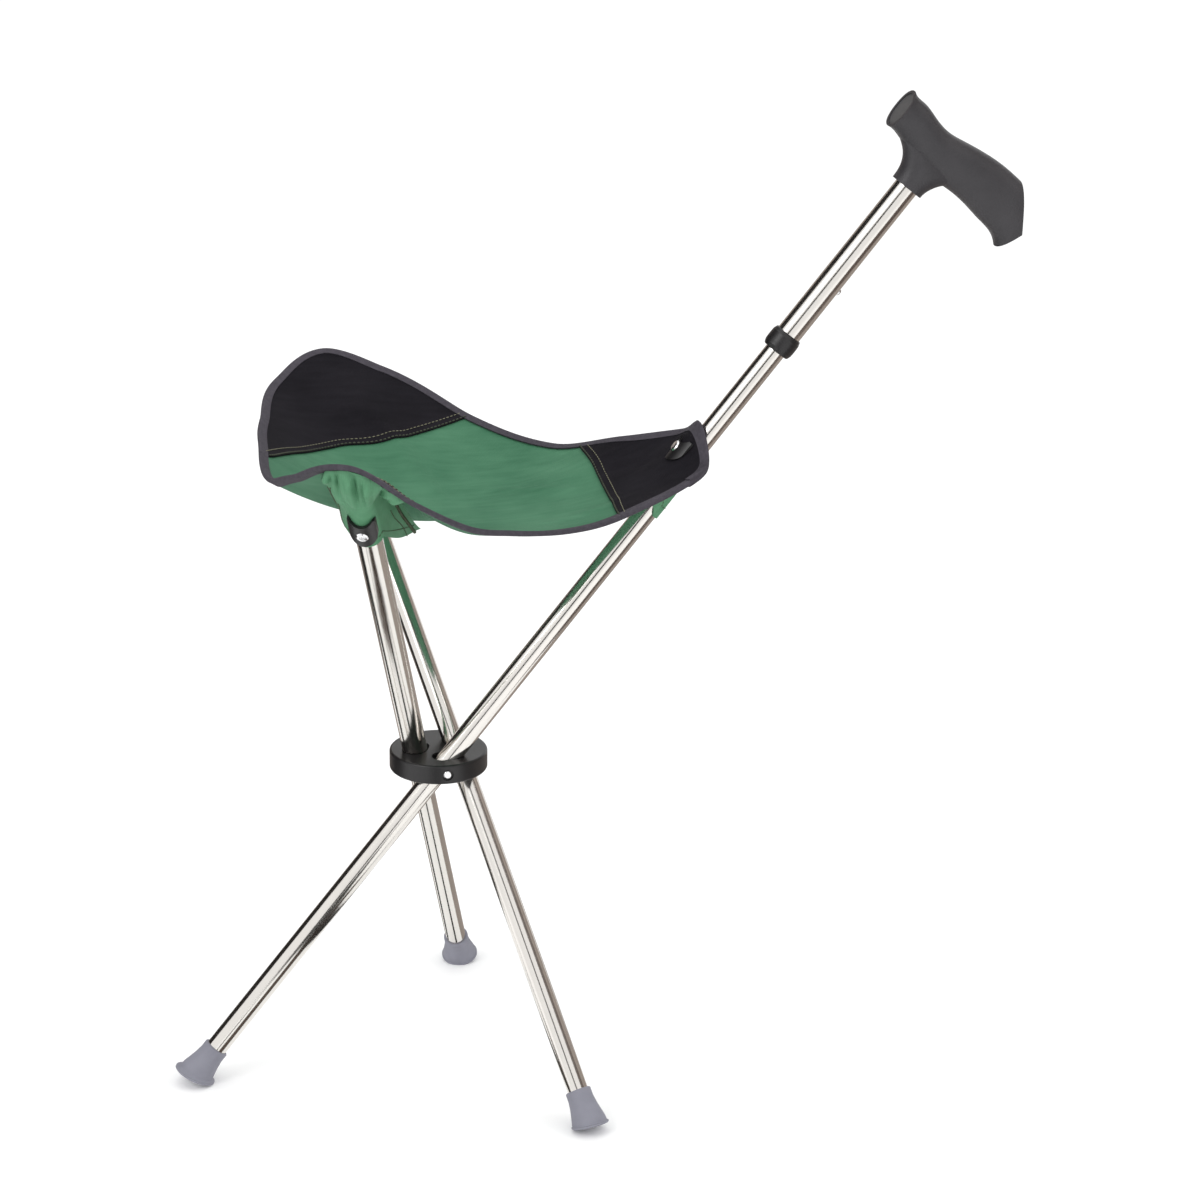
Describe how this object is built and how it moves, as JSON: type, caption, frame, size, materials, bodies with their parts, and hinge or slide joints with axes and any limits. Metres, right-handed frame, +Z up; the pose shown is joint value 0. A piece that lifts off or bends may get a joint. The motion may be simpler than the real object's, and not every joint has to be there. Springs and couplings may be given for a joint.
{
  "type": "walking stick seat",
  "caption": "Folding tripod seat on a walking stick: crossed steel tubes in a slotted hub, a three-cornered cloth sling seat and a sliding moulded handle.",
  "frame": {"origin": "middle of the worn flat under the stick's rubber foot, on the floor", "axes": "+Z up from the floor; +X the way the stick leans, from its foot towards the handle; +Y towards the free leg whose top holds the far front corner"},
  "size_m": [0.6435, 0.3829, 0.7467],
  "materials": {
    "polished_steel": "polished",
    "rivet_steel": "polished",
    "spring_steel": "satin",
    "hub_plastic": "gloss",
    "guide_plastic": "matte",
    "grip_plastic": "satin",
    "grey_rubber": "matte",
    "green_cloth": "woven",
    "black_cloth": "woven",
    "binding_tape": "woven"
  },
  "bodies": {
    "hub": {"hub_body": "hub_plastic", "pivot_pins": "rivet_steel", "seat_panel": "green_cloth", "seat_binding": "binding_tape", "patch_a": "black_cloth", "patch_b": "black_cloth", "patch_rear": "black_cloth"},
    "stick": {"stick_tube": "polished_steel", "stick_foot": "grey_rubber", "stick_guide": "guide_plastic", "snap_spring": "spring_steel", "rear_plate": "hub_plastic", "rear_rivet": "rivet_steel", "rear_sleeve": "green_cloth"},
    "button": {"snap_button": "rivet_steel"},
    "handle": {"handle_tube": "polished_steel", "handle_collar": "hub_plastic", "handle_grip": "grip_plastic", "grip_nose_cap": "grip_plastic", "grip_plug": "guide_plastic"},
    "leg_a": {"leg_a_tube": "polished_steel", "leg_a_sleeve": "polished_steel", "leg_a_foot": "grey_rubber", "leg_a_cap": "guide_plastic", "leg_a_plate": "hub_plastic", "leg_a_rivet": "rivet_steel", "pocket_a": "green_cloth"},
    "leg_b": {"leg_b_tube": "polished_steel", "leg_b_foot": "grey_rubber", "leg_b_cap": "guide_plastic", "leg_b_plate": "hub_plastic", "leg_b_rivet": "rivet_steel", "pocket_b": "green_cloth"}
  },
  "joints": [
    {"name": "stick_fold", "type": "hinge", "parent": "hub", "child": "stick", "pos_m": [0.17993, 0, 0.245], "axis": [0, -1, 0], "range_deg": [0, 39], "deforming": ["seat_panel", "seat_binding", "patch_a", "patch_b", "patch_rear", "rear_sleeve"]},
    {"name": "leg_a_fold", "type": "hinge", "parent": "hub", "child": "leg_a", "pos_m": [0.16422, 0.02351, 0.245], "axis": [-0.9239, 0.3827, 0], "range_deg": [0, 34], "deforming": ["pocket_a"]},
    {"name": "leg_b_fold", "type": "hinge", "parent": "hub", "child": "leg_b", "pos_m": [0.19563, 0.02351, 0.245], "axis": [0.9239, 0.3827, 0], "range_deg": [0, 36.5], "deforming": ["pocket_b"]},
    {"name": "handle_slide", "type": "slide", "parent": "stick", "child": "handle", "axis": [0.6293, 0, 0.7771], "range_m": [-0.08, 0.04]},
    {"name": "button_press", "type": "slide", "parent": "stick", "child": "button", "axis": [-0.7771, 0, 0.6293], "range_m": [0, 0.0036], "stiffness_N_per_m": 400, "springref_m": -0.003, "deforming": ["snap_spring"]}
  ],
  "couplings": [
    {"joint": "leg_a_fold", "follows": "stick_fold", "ratio": 0.87179},
    {"joint": "leg_b_fold", "follows": "stick_fold", "ratio": 0.93589}
  ]
}
